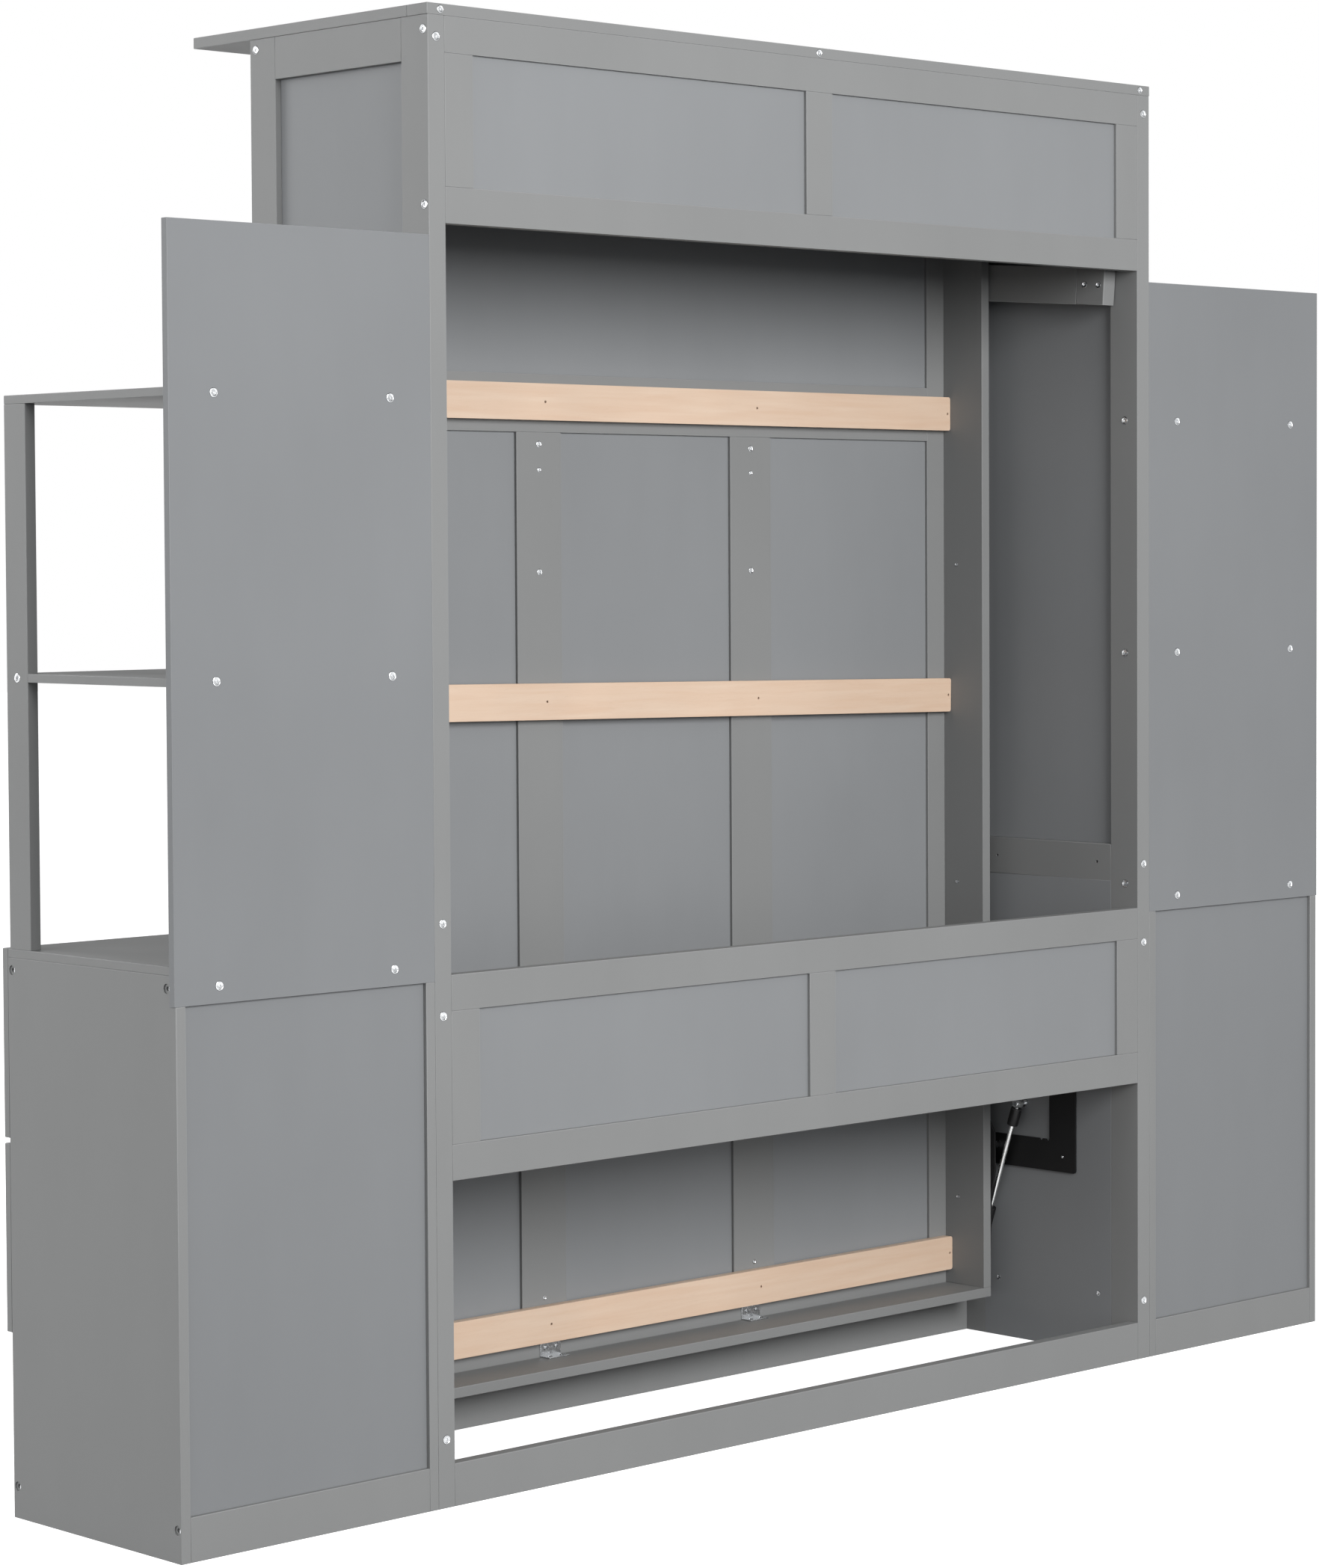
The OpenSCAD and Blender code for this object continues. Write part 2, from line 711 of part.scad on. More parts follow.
// Each plate has a large window with two small notches in its lower edge
module mechanism_plates() {
    color(black_steel) on_rear() both_sides()
        translate([inner_x - plate_t, 0, 0]) rotate([90, 0, 90]) linear_extrude(plate_t) difference() {
            round_corners([-380, 295], [-134, 615], 5);
            translate(window[0]) square(window[1] - window[0]);
            for (y = [window[1][0] - 4, window[1][0] - 19]) translate([y, window[0][1]]) circle(3.5);
        }
}

// Pins of the bed's pivot and of the springs' upper ends, fixed to the mechanism plates
module pivot_studs() {
    tip = inner_x - plate_t;
    color(steel) on_rear() both_sides() {
        translate([bed_half + slip, -pivot_d, pivot_z]) rotate([0, 90, 0]) cylinder(r = pivot_r, h = tip - bed_half - slip);
        translate([spring_x - eye_t / 2 - 2, -spring_top_d, spring_top_z])
            rotate([0, 90, 0]) cylinder(r = stud_r, h = tip - spring_x + eye_t / 2 + 2);
        translate([tip, -spring_top_d, spring_top_z]) rotate([0, 90, 0]) cylinder(r = 7, h = plate_t);
    }
}

// Springs are drawn from their upper end along -Z, then leaned and moved to their place
module on_spring(side) {
    on_rear() on_side(side) translate([spring_x, -spring_top_d, spring_top_z])
        rotate([spring_tilt, 0, 0]) children();
}

module spring_rod(side) {
    color(steel) on_spring(side) difference() {
        union() {
            translate([-eye_t / 2, 0, 0]) rotate([0, 90, 0]) cylinder(r = eye_r, h = eye_t);
            translate([0, 0, -rod_l]) cylinder(r = rod_r, h = rod_l);
        }
        translate([-eye_t / 2 - 1, 0, 0]) rotate([0, 90, 0]) cylinder(r = stud_r + running, h = eye_t + 2);
    }
}

module spring_sleeve(side) {
    color(black_steel) on_spring(side) difference() {
        translate([0, 0, -40]) cylinder(r = 9.5, h = 31);
        translate([0, 0, -41]) cylinder(r = rod_r + running, h = 34);
        translate([-20, 0, 0]) rotate([0, 90, 0]) cylinder(r = eye_r + slip, h = 40);
    }
}

module spring_cylinder(side) {
    color(black_steel) on_spring(side) difference() {
        union() {
            translate([0, 0, -spring_l]) cylinder(r = cylinder_r, h = cylinder_l);
            translate([-6, 0, -spring_l]) rotate([0, 90, 0]) cylinder(r = cylinder_r, h = 12);
        }
        translate([0, 0, -spring_l + 2]) cylinder(r = rod_r + running, h = cylinder_l);
    }
}

module cabinet_bolts() {
    color(steel) on_rear() {
        at_top_strip_bolts() bolt(30, 5.5, bolt_r);
        both_sides() {
            at_rear_stile_bolts() bolt(long_bolt);
            at_frame_side_bolts() bolt(frame_bolt);
            at_inner_stile_bolts() bolt(frame_bolt);
            at_shelf_back_bolts() bolt(shelf_bolt);
            at_unit_side_bolts() bolt(side_bolt);
            at_post_bolt() bolt(post_bolt);
            at_panel_screws() bolt(10, 4, 1.5);
            at_plate_screws() cylinder(r = 2.4, h = 1.2);
        }
    }
}

// ---- parts ----

top_board();
top_back_strip();
side_stiles();
side_rails();
side_panels();
back_rails();
back_stiles();
back_panels();
rear_floor_rail();
front_rails();
unit_outer_panels();
unit_inner_panels();
unit_back_panels();
unit_rails();
unit_floors();
counters();
shelf_backs();
shelves();
shelf_posts();
drawer_cleats();
mechanism_plates();
pivot_studs();
cabinet_bolts();
face_outer_stiles();
face_middle_stiles();
face_rails();
face_panels();
bed_side_rails();
bed_end_boards();
bed_slats();
corner_brackets();
bed_pulls();
bed_pivot_plates();
leg_pivot_pins();
bed_screws();
for (side = ["left", "right"]) {
    leg(side);
    leg_foot(side);
    leg_bolts(side);
    spring_rod(side);
    spring_sleeve(side);
    spring_cylinder(side);
    for (level = [0, 1]) {
        tail = str(side, level == 1 ? "_upper" : "_lower");
        drawer_front(side, level);
        drawer_box(side, level);
        drawer_pull(side, level);
    }
}
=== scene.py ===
"""Looks of the wall bed: eased painted boards, beech slats, hardware, and the stage round them."""

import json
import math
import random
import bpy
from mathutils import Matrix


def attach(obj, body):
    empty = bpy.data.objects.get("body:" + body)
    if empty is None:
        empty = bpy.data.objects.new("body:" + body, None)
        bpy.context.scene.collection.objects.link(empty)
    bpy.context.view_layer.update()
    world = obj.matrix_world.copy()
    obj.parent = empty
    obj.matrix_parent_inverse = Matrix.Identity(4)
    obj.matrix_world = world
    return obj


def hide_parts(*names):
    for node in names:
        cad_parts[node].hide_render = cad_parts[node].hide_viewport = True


bl_info = {
    "name": "Wall Bed",
    "version": (1, 0, 0),
    "blender": (4, 5, 0),
    "location": "View3D > Sidebar > Wall Bed",
    "description": "Builds the boards, slats, hardware and stage of a fold-down bed in its cabinet",
    "category": "Object",
}

import bmesh
import bpy
from bpy.props import FloatProperty, FloatVectorProperty, PointerProperty, StringProperty
from mathutils import Matrix, Vector

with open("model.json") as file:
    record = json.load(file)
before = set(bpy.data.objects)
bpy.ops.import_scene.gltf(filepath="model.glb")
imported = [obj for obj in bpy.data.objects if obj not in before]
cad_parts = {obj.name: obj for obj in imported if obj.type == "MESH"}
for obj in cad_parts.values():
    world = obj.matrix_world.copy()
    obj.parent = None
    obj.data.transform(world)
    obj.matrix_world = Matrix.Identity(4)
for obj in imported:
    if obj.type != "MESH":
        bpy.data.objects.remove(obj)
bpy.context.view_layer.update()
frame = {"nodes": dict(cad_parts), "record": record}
RECORD = frame["record"]
BODY_OF = {node: body for body, nodes in RECORD["behaviour"]["bodies"].items() for node in nodes}
SLOT_OF = {part["node"]: part["material_slot"] for part in RECORD["subparts"]}
SIDES = ("left", "right")
LEVELS = ("upper", "lower")
MM = 0.001
# Places closer than this are the same
TOUCH = 1e-7

# The record's nodes by their finish
FRAME_NODES = (
    "top_board", "top_back_strip", "side_stiles", "side_rails", "back_rails", "back_stiles",
    "rear_floor_rail", "front_rails", "unit_outer_panels", "unit_inner_panels", "unit_rails", "unit_floors",
    "counters", "shelves", "shelf_posts", "face_outer_stiles", "face_middle_stiles", "face_rails",
    "bed_side_rails", "bed_end_boards",
)
PANEL_NODES = ("side_panels", "back_panels", "face_panels")
UNIT_BACK_NODES = ("unit_back_panels", "shelf_backs")

# Edges of thin panels, drawer boxes and cleats, and of the legs' blocks, as a share of the boards' edges
THIN_EASE = 0.6
BLOCK_EASE = 1.6
# Edges of the turned metal and moulded pieces, and the steps that their rounder edges are drawn with
PULL_EASE = 1.0 * MM
ROD_EASE = 0.6 * MM
CYLINDER_EASE = 1.2 * MM
ROUND_STEPS = 3


# ---------------------------------------------------------------------------------------------
# Colour and nodes
# ---------------------------------------------------------------------------------------------

def linear(code):
    """An sRGB hex colour as the linear RGBA that shaders use."""
    channels = [int(code[i:i + 2], 16) / 255 for i in (1, 3, 5)]
    return (*[c / 12.92 if c <= 0.04045 else ((c + 0.055) / 1.055) ** 2.4 for c in channels], 1.0)


def add(tree, kind, links=None, values=None, **settings):
    """Adds a node, with its settings, its input values and the outputs its inputs take."""
    made = tree.nodes.new(kind)
    for key, value in settings.items():
        setattr(made, key, value)
    for key, value in (values or {}).items():
        made.inputs[key].default_value = value
    for key, source in (links or {}).items():
        tree.links.new(source, made.inputs[key])
    return made


# Sockets of a Mix node that are used when it mixes colours
MIX_FIRST, MIX_SECOND, MIX_RESULT = 6, 7, 2


def start_material(name, **sockets):
    """A new material with a Principled shader whose plain sockets are set directly."""
    material = bpy.data.materials.new(name)
    material.use_nodes = True
    tree = material.node_tree
    shader = tree.nodes["Principled BSDF"]
    for key, value in sockets.items():
        shader.inputs[key.replace("_", " ").title().replace("Ior", "IOR")].default_value = value
    return material, tree, shader


def satin_lacquer(name, code, seed):
    """Satin acrylic lacquer sprayed on fibreboard: even colour, a soft sheen and faint orange peel.

    The coat is thinnest on the eased edges, which look a little paler, and boards differ by a shade.
    """
    material, tree, shader = start_material(name, roughness=0.52, ior=1.47, specular_ior_level=0.25)
    place = add(tree, "ShaderNodeTexCoord").outputs["Object"]
    # Clouds of coat thickness, about 350 mm across
    clouds = add(tree, "ShaderNodeTexNoise", {"Vector": place},
                 {"Scale": 1 / 0.35, "Detail": 3.0, "Roughness": 0.45, "W": seed}, noise_dimensions="4D")
    # Streaks of the spray passes, 60 mm wide and several times as long
    passes = add(tree, "ShaderNodeMapping", {"Vector": place}, {"Scale": (1.0, 1.0, 0.25)})
    streaks = add(tree, "ShaderNodeTexNoise", {"Vector": passes.outputs[0]},
                  {"Scale": 1 / 0.06, "Detail": 2.0})
    # Orange peel is 1 to 2 mm across on the real coat and is drawn at 5 mm so that it shows
    peel = add(tree, "ShaderNodeTexNoise", {"Vector": place},
               {"Scale": 1 / 0.005, "Detail": 2.0, "Roughness": 0.6})
    board = add(tree, "ShaderNodeAttribute", attribute_name="board_tone")
    edge = add(tree, "ShaderNodeAttribute", attribute_name="eased_edge")
    spread = add(tree, "ShaderNodeMapRange", {"Value": clouds.outputs["Fac"]},
                 {"From Min": 0.3, "From Max": 0.7, "To Min": 0.965, "To Max": 1.03})
    drift = add(tree, "ShaderNodeMapRange", {"Value": streaks.outputs["Fac"]},
                {"From Min": 0.3, "From Max": 0.7, "To Min": 0.99, "To Max": 1.01})
    both = add(tree, "ShaderNodeMath", {0: spread.outputs[0], 1: drift.outputs[0]}, operation="MULTIPLY")
    shade = add(tree, "ShaderNodeMath", {0: both.outputs[0], 1: board.outputs["Fac"]},
                operation="MULTIPLY")
    tint = add(tree, "ShaderNodeHueSaturation", {"Value": shade.outputs[0]}, {"Color": linear(code)})
    worn = add(tree, "ShaderNodeMath", {0: edge.outputs["Fac"]}, {1: 0.06}, operation="MULTIPLY")
    mix = add(tree, "ShaderNodeMix", {"Factor": worn.outputs[0], MIX_FIRST: tint.outputs[0]},
              {MIX_SECOND: linear("#d9dadb")}, data_type="RGBA")
    tree.links.new(mix.outputs[MIX_RESULT], shader.inputs["Base Color"])
    sheen = add(tree, "ShaderNodeMapRange", {"Value": clouds.outputs["Fac"]},
                {"From Min": 0.3, "From Max": 0.7, "To Min": 0.46, "To Max": 0.58})
    tree.links.new(sheen.outputs[0], shader.inputs["Roughness"])
    bump = add(tree, "ShaderNodeBump", {"Height": peel.outputs["Fac"]},
               {"Strength": 0.12, "Distance": 0.0004})
    tree.links.new(bump.outputs[0], shader.inputs["Normal"])
    return material


# Scale of the rings and of the flecks along the grain, as a share of their scale across it
RING_STRETCH, FLECK_STRETCH = 0.06, 0.12


def planed_wood(name, pale, dark, along, ring, fleck):
    """Planed hardwood with a thin clear coat: rings drawn out along the board, and short darker flecks.

    along is the axis the board runs on, 0 for X and 1 for Y; ring and fleck are the ring spacing and the
    fleck length in metres.
    """
    material, tree, shader = start_material(name, roughness=0.4, ior=1.5)
    place = add(tree, "ShaderNodeTexCoord").outputs["Object"]
    board = add(tree, "ShaderNodeAttribute", attribute_name="board_shift")
    shifted = add(tree, "ShaderNodeVectorMath", {0: place, 1: board.outputs["Vector"]}, operation="ADD")
    drawn = [1.0, 1.0, 1.0]
    drawn[along] = RING_STRETCH
    stretched = add(tree, "ShaderNodeMapping", {"Vector": shifted.outputs[0]}, {"Scale": drawn})
    rings = add(tree, "ShaderNodeTexNoise", {"Vector": stretched.outputs[0]},
                {"Scale": 1 / ring, "Detail": 4.0, "Roughness": 0.55, "Distortion": 0.35})
    short = [1.0, 1.0, 1.0]
    short[along] = FLECK_STRETCH
    squeezed = add(tree, "ShaderNodeMapping", {"Vector": shifted.outputs[0]}, {"Scale": short})
    flecks = add(tree, "ShaderNodeTexNoise", {"Vector": squeezed.outputs[0]},
                 {"Scale": 1 / (fleck * FLECK_STRETCH), "Detail": 1.0})
    # Broad clouds of colour, about 220 mm across
    figure = add(tree, "ShaderNodeTexNoise", {"Vector": shifted.outputs[0]},
                 {"Scale": 1 / 0.22, "Detail": 2.0})
    ramp = add(tree, "ShaderNodeMapRange", {"Value": rings.outputs["Fac"]},
               {"From Min": 0.25, "From Max": 0.75})
    mix = add(tree, "ShaderNodeMix", {"Factor": ramp.outputs[0]},
              {MIX_FIRST: linear(pale), MIX_SECOND: linear(dark)}, data_type="RGBA")
    spots = add(tree, "ShaderNodeMapRange", {"Value": flecks.outputs["Fac"]},
                {"From Min": 0.62, "From Max": 0.75, "To Min": 1.0, "To Max": 0.96})
    cloud = add(tree, "ShaderNodeMapRange", {"Value": figure.outputs["Fac"]},
                {"From Min": 0.3, "From Max": 0.7, "To Min": 0.95, "To Max": 1.04})
    shade = add(tree, "ShaderNodeMath", {0: spots.outputs[0], 1: cloud.outputs[0]}, operation="MULTIPLY")
    tint = add(tree, "ShaderNodeHueSaturation",
               {"Color": mix.outputs[MIX_RESULT], "Value": shade.outputs[0]})
    tree.links.new(tint.outputs[0], shader.inputs["Base Color"])
    gloss = add(tree, "ShaderNodeMapRange", {"Value": flecks.outputs["Fac"]},
                {"To Min": 0.34, "To Max": 0.5})
    tree.links.new(gloss.outputs[0], shader.inputs["Roughness"])
    bump = add(tree, "ShaderNodeBump", {"Height": rings.outputs["Fac"]},
               {"Strength": 0.2, "Distance": 0.0003})
    tree.links.new(bump.outputs[0], shader.inputs["Normal"])
    return material


def plated_steel(name, code, roughness, smear, speckle):
    """Plated or polished steel, with the faint cloudy marks of handling.

    smear is the size of the marks in metres, and speckle how far they shift the roughness.
    """
    material, tree, shader = start_material(name, metallic=1.0, roughness=roughness)
    place = add(tree, "ShaderNodeTexCoord").outputs["Object"]
    marks = add(tree, "ShaderNodeTexNoise", {"Vector": place}, {"Scale": 1 / smear, "Detail": 3.0})
    gloss = add(tree, "ShaderNodeMapRange", {"Value": marks.outputs["Fac"]},
                {"From Min": 0.3, "From Max": 0.7,
                 "To Min": roughness - speckle, "To Max": roughness + speckle})
    tree.links.new(gloss.outputs[0], shader.inputs["Roughness"])
    shade = add(tree, "ShaderNodeMapRange", {"Value": marks.outputs["Fac"]},
                {"To Min": 0.88, "To Max": 1.08})
    tint = add(tree, "ShaderNodeHueSaturation", {"Value": shade.outputs[0]}, {"Color": linear(code)})
    tree.links.new(tint.outputs[0], shader.inputs["Base Color"])
    return material


def dark_coat(name, code, roughness, grit, depth):
    """Black powder coat or moulded nylon: a fine pebbled skin, rubbed greyer on its edges.

    grit is the pebbles' size and depth their height, in metres.
    """
    material, tree, shader = start_material(name, roughness=roughness, ior=1.5, specular_ior_level=0.25)
    place = add(tree, "ShaderNodeTexCoord").outputs["Object"]
    skin = add(tree, "ShaderNodeTexNoise", {"Vector": place}, {"Scale": 1 / grit, "Detail": 2.0})
    edge = add(tree, "ShaderNodeAttribute", attribute_name="eased_edge")
    rub = add(tree, "ShaderNodeMath", {0: edge.outputs["Fac"]}, {1: 0.25}, operation="MULTIPLY")
    mix = add(tree, "ShaderNodeMix", {"Factor": rub.outputs[0]},
              {MIX_FIRST: linear(code), MIX_SECOND: linear("#6c6c6e")}, data_type="RGBA")
    tree.links.new(mix.outputs[MIX_RESULT], shader.inputs["Base Color"])
    gloss = add(tree, "ShaderNodeMapRange", {"Value": skin.outputs["Fac"]},
                {"To Min": roughness - 0.08, "To Max": roughness + 0.08})
    tree.links.new(gloss.outputs[0], shader.inputs["Roughness"])
    bump = add(tree, "ShaderNodeBump", {"Height": skin.outputs["Fac"]}, {"Strength": 0.25, "Distance": depth})
    tree.links.new(bump.outputs[0], shader.inputs["Normal"])
    return material


def paper_sweep(name, code):
    """A matte, back-lit paper backdrop with a barely seen mottle."""
    material, tree, shader = start_material(name, roughness=0.9, emission_strength=0.6)
    shader.inputs["Emission Color"].default_value = linear(code)
    place = add(tree, "ShaderNodeTexCoord").outputs["Object"]
    mottle = add(tree, "ShaderNodeTexNoise", {"Vector": place}, {"Scale": 0.4, "Detail": 2.0})
    shade = add(tree, "ShaderNodeMapRange", {"Value": mottle.outputs["Fac"]},
                {"To Min": 0.99, "To Max": 1.01})
    tint = add(tree, "ShaderNodeHueSaturation", {"Value": shade.outputs[0]}, {"Color": linear(code)})
    tree.links.new(tint.outputs[0], shader.inputs["Base Color"])
    return material


_finishes = {}


def material(key):
    """Each finish is made once, when it is first asked for."""
    finish = bpy.context.scene.wall_bed_finish
    beech = (finish.beech_pale, finish.beech_dark)
    makers = {
        # One grey lacquer, a shade apart on the frame, the thin panels and the side units' backs
        "lacquered_frame": lambda: satin_lacquer("lacquered_fibreboard_frame", finish.frame_grey, 1.0),
        "lacquered_panel": lambda: satin_lacquer("lacquered_fibreboard_panel", finish.panel_grey, 2.0),
        "lacquered_back": lambda: satin_lacquer("lacquered_fibreboard_back", finish.back_grey, 3.0),
        # Steamed beech is pale pink-brown; its flecks are 2 to 4 mm long, drawn at 12 mm so that they show
        "beech": lambda: planed_wood("clear_lacquered_beech", *beech, 0, 0.012, 0.012),
        "beech_cleat": lambda: planed_wood("clear_lacquered_beech_cleat", *beech, 1, 0.012, 0.012),
        # Rotary-cut birch veneer has broad, faint figure
        "birch_ply": lambda: planed_wood("clear_lacquered_birch_ply", "#d9c19a", "#c8a878", 1, 0.03, 0.02),
        # Bright zinc is bluish and patchy, nickel plate warm and even, and a ground rod the brightest
        "zinc": lambda: plated_steel("bright_zinc_plated_steel", "#c4c6c8", 0.22, 0.004, 0.08),
        "nickel": lambda: plated_steel("satin_nickel_plated_steel", "#bdb8b0", 0.32, 0.01, 0.05),
        "chrome": lambda: plated_steel("ground_and_chromed_rod", "#eceded", 0.28, 0.02, 0.03),
        # Powder coat is the rougher and more pebbled of the two blacks. Both grains are under 1 mm across and
        # are drawn at 3 and 2 mm so that they show
        "powder": lambda: dark_coat("black_powder_coated_steel", "#101011", 0.5, 0.003, 0.0002),
        "nylon": lambda: dark_coat("black_moulded_nylon", "#1b1b1c", 0.4, 0.002, 0.0001),
        "paper": lambda: paper_sweep("white_paper_sweep", finish.backdrop),
    }
    if key not in _finishes:
        _finishes[key] = makers[key]()
    return _finishes[key]


# ---------------------------------------------------------------------------------------------
# Meshes
# ---------------------------------------------------------------------------------------------

# Points of a mesh closer than this are joined
WELD = 0.01 * MM
# Faces that turn by less than this, in degrees, are made one
FLAT = 0.6
# Facets of a round surface turn by more degrees than the first, and those of a hole by degrees between
# the other two
ROUND_FACET = 0.5
HOLE_FACET = (1.0, 46.0)
# Each board's tone is off by up to this share, and its grain is shifted by up to this many metres
TONE_SPREAD = 0.012
GRAIN_SHIFT = 9.0


def cad_solids(node):
    """The node's separate solids, each as a bmesh of its own with its faces joined where they are flat."""
    whole = bmesh.new()
    whole.from_mesh(frame["nodes"][node].data)
    bmesh.ops.remove_doubles(whole, verts=whole.verts, dist=WELD)
    seen, groups = set(), []
    for first in whole.verts:
        if first in seen:
            continue
        group, front = [], [first]
        seen.add(first)
        while front:
            vert = front.pop()
            group.append(vert)
            for edge in vert.link_edges:
                other = edge.other_vert(vert)
                if other not in seen:
                    seen.add(other)
                    front.append(other)
        groups.append(group)
    solids = []
    for group in groups:
        solid = bmesh.new()
        copies = {vert: solid.verts.new(vert.co) for vert in group}
        for face in dict.fromkeys(face for vert in group for face in vert.link_faces):
            solid.faces.new([copies[vert] for vert in face.verts])
        bmesh.ops.dissolve_limit(solid, angle_limit=math.radians(FLAT), verts=solid.verts, edges=solid.edges)
        solids.append(solid)
    whole.free()
    solids.sort(key=lambda b: tuple(round(min(v.co[i] for v in b.verts), 4) for i in range(3)))
    return solids


def finish_mesh(solids, name, mat, smooth=35.0):
    """Joins solids into one object. Each gets a tone and a grain shift of its own.

    Edges that turn by less than smooth degrees are shaded as round.
    """
    mesh = bpy.data.meshes.new(name)
    joined = bmesh.new()
    tone = joined.verts.layers.float.new("board_tone")
    shift = joined.verts.layers.float_vector.new("board_shift")
    edge = joined.faces.layers.float.new("eased_edge")
    dice = random.Random(name)
    for solid in solids:
        eased = solid.faces.layers.float.get("eased_edge")
        value = 1 + dice.uniform(-TONE_SPREAD, TONE_SPREAD)
        slide = Vector([dice.uniform(-GRAIN_SHIFT, GRAIN_SHIFT) for _ in range(3)])
        copies = {}
        for vert in solid.verts:
            copy = joined.verts.new(vert.co)
            copy[tone] = value
            copy[shift] = slide
            copies[vert] = copy
        for face in solid.faces:
            made = joined.faces.new([copies[vert] for vert in face.verts])
            made[edge] = face[eased] if eased else 0.0
            made.smooth = made[edge] > 0.5
        solid.free()
    joined.normal_update()
    for line in joined.edges:
        if len(line.link_faces) != 2:
            continue
        turn = math.degrees(line.calc_face_angle(0.0))
        line.smooth = turn < smooth
        # Facets of a round surface meet at a small angle, and flat faces do not
        if ROUND_FACET < turn < smooth and all(face[edge] < 0.5 for face in line.link_faces):
            for face in line.link_faces:
                face.smooth = True
    joined.to_mesh(mesh)
    joined.free()
    mesh.materials.append(mat)
    piece = bpy.data.objects.new(name, mesh)
    bpy.context.scene.collection.objects.link(piece)
    return piece


def lines_a_hole(face):
    """Whether a face is a facet of a round hole, whose neighbours lean inward by a small angle."""
    return any(len(line.link_faces) == 2 and not line.is_convex
               and HOLE_FACET[0] < math.degrees(line.calc_face_angle(0.0)) < HOLE_FACET[1]
               for line in face.edges)


def ease(solid, width, segments=2, sharper=40.0):
    """Rounds the solid's sharp outer edges, but not the rims of its holes, and marks the new faces.

    An edge is sharp where it turns by more than sharper degrees.
    """
    layer = solid.faces.layers.float.new("eased_edge")
    solid.normal_update()
    sharp = [line for line in solid.edges
             if len(line.link_faces) == 2 and line.is_convex
             and line.calc_face_angle(0.0) > math.radians(sharper)
             and not any(lines_a_hole(face) for face in line.link_faces)]
    if sharp:
        made = bmesh.ops.bevel(solid, geom=sharp, offset=width, segments=segments, profile=0.5,
                               affect="EDGES", clamp_overlap=True)
        for face in made["faces"]:
            face[layer] = 1.0
    return solid


def place(piece, body, nodes, slot):
    """The piece stands for its CAD nodes and moves with their body. Its slot, a material slot of the record,
    is not used.
    """
    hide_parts(*nodes)
    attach(piece, body)
    return piece


def eased_node(node, mat, width, segments=2):
    """A CAD node with its edges eased, in a procedural finish."""
    solids = [ease(solid, width, segments) for solid in cad_solids(node)]
    return place(finish_mesh(solids, node + "_eased", mat), BODY_OF[node], [node], SLOT_OF[node])


def turned(profile, sides=32):
    """A solid of revolution round +Z from (radius, height) points, closed at both ends."""
    solid = bmesh.new()
    around = [2 * math.pi * i / sides for i in range(sides)]
    rows = []
    for radius, height in profile:
        if radius < TOUCH:
            rows.append([solid.verts.new((0, 0, height))])
        else:
            rows.append([solid.verts.new((radius * math.cos(turn), radius * math.sin(turn), height))
                         for turn in around])
    for low, high in zip(rows, rows[1:]):
        for i in range(sides):
            a, b = low[i % len(low)], low[(i + 1) % len(low)]
            c, d = high[(i + 1) % len(high)], high[i % len(high)]
            corners = []
            for vert in (a, b, c, d):
                if vert not in corners:
                    corners.append(vert)
            if len(corners) > 2:
                solid.faces.new(corners)
    for row in (rows[0], rows[-1]):
        if len(row) > 1:
            solid.faces.new(row)
    bmesh.ops.recalc_face_normals(solid, faces=solid.faces)
    return solid


def stand(solid, point, direction):
    """Turns a solid made round +Z so that +Z lies along direction, with its origin at point."""
    turn = Vector(direction).to_track_quat("Z", "Y").to_matrix().to_4x4()
    solid.transform(Matrix.Translation(point) @ turn)
    return solid


# A fixing's longest side beats the next by this factor, and its end is measured this far in
LONGER = 1.3
END_REACH = 0.3 * MM


def fixings(node):
    """Each bolt or screw of a node: the middle of its head's top, the way the head faces, the head's radius
    and the whole length.

    A fixing lies along its longest side, or along its shortest if it is a flat disc. Its head is at the wider
    end.
    """
    found = []
    for solid in cad_solids(node):
        points = [v.co.copy() for v in solid.verts]
        solid.free()
        low = Vector([min(p[i] for p in points) for i in range(3)])
        high = Vector([max(p[i] for p in points) for i in range(3)])
        size, middle = high - low, (high + low) / 2
        thin, middling, long = sorted(range(3), key=lambda i: size[i])
        axis = long if size[long] > LONGER * size[middling] else thin
        reach = []
        for end in (low[axis], high[axis]):
            near = [p for p in points if abs(p[axis] - end) < END_REACH]
            across = [Vector([p[i] - middle[i] if i != axis else 0 for i in range(3)]).length for p in near]
            reach.append(max(across, default=0))
        sign = 1 if reach[1] >= reach[0] else -1
        top = middle.copy()
        top[axis] = high[axis] if sign > 0 else low[axis]
        way = Vector((0, 0, 0))
        way[axis] = sign
        found.append((top, way, max(reach), size[axis]))
    return found


